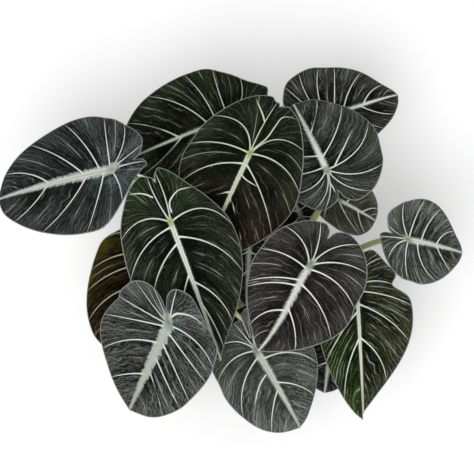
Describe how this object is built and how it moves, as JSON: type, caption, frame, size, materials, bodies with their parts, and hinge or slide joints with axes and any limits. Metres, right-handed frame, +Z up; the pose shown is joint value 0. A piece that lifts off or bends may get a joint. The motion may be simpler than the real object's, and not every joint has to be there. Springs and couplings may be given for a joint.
{
  "type": "alocasia black velvet plant in a pot",
  "caption": "Houseplant with dark velvety shield-shaped leaves, pale veins and arching green petioles, rooted in soil in a plain round nursery pot.",
  "frame": {"origin": "centre of the pot's flat underside, on the surface that the pot stands on", "axes": "+Z up along the pot's axis; -Y towards the viewer, +X to the viewer's right"},
  "size_m": [0.3562, 0.2956, 0.2839],
  "materials": {
    "pot": "satin",
    "soil": "matte",
    "rhizome": "matte",
    "petiole": "satin",
    "blade": "matte"
  },
  "bodies": {
    "root": {"pot": "pot", "soil": "soil", "rhizome": "rhizome", "spear": "petiole", "petiole_01": "petiole", "petiole_02": "petiole", "petiole_03": "petiole", "petiole_04": "petiole", "petiole_05": "petiole", "petiole_06": "petiole", "petiole_07": "petiole", "petiole_08": "petiole", "petiole_09": "petiole", "petiole_10": "petiole", "petiole_11": "petiole", "petiole_12": "petiole", "petiole_13": "petiole", "petiole_14": "petiole", "petiole_15": "petiole", "petiole_16": "petiole", "blade_01": "blade", "blade_02": "blade", "blade_03": "blade", "blade_04": "blade", "blade_05": "blade", "blade_06": "blade", "blade_07": "blade", "blade_08": "blade", "blade_09": "blade", "blade_10": "blade", "blade_11": "blade", "blade_12": "blade", "blade_13": "blade", "blade_14": "blade", "blade_15": "blade", "blade_16": "blade"}
  },
  "joints": []
}
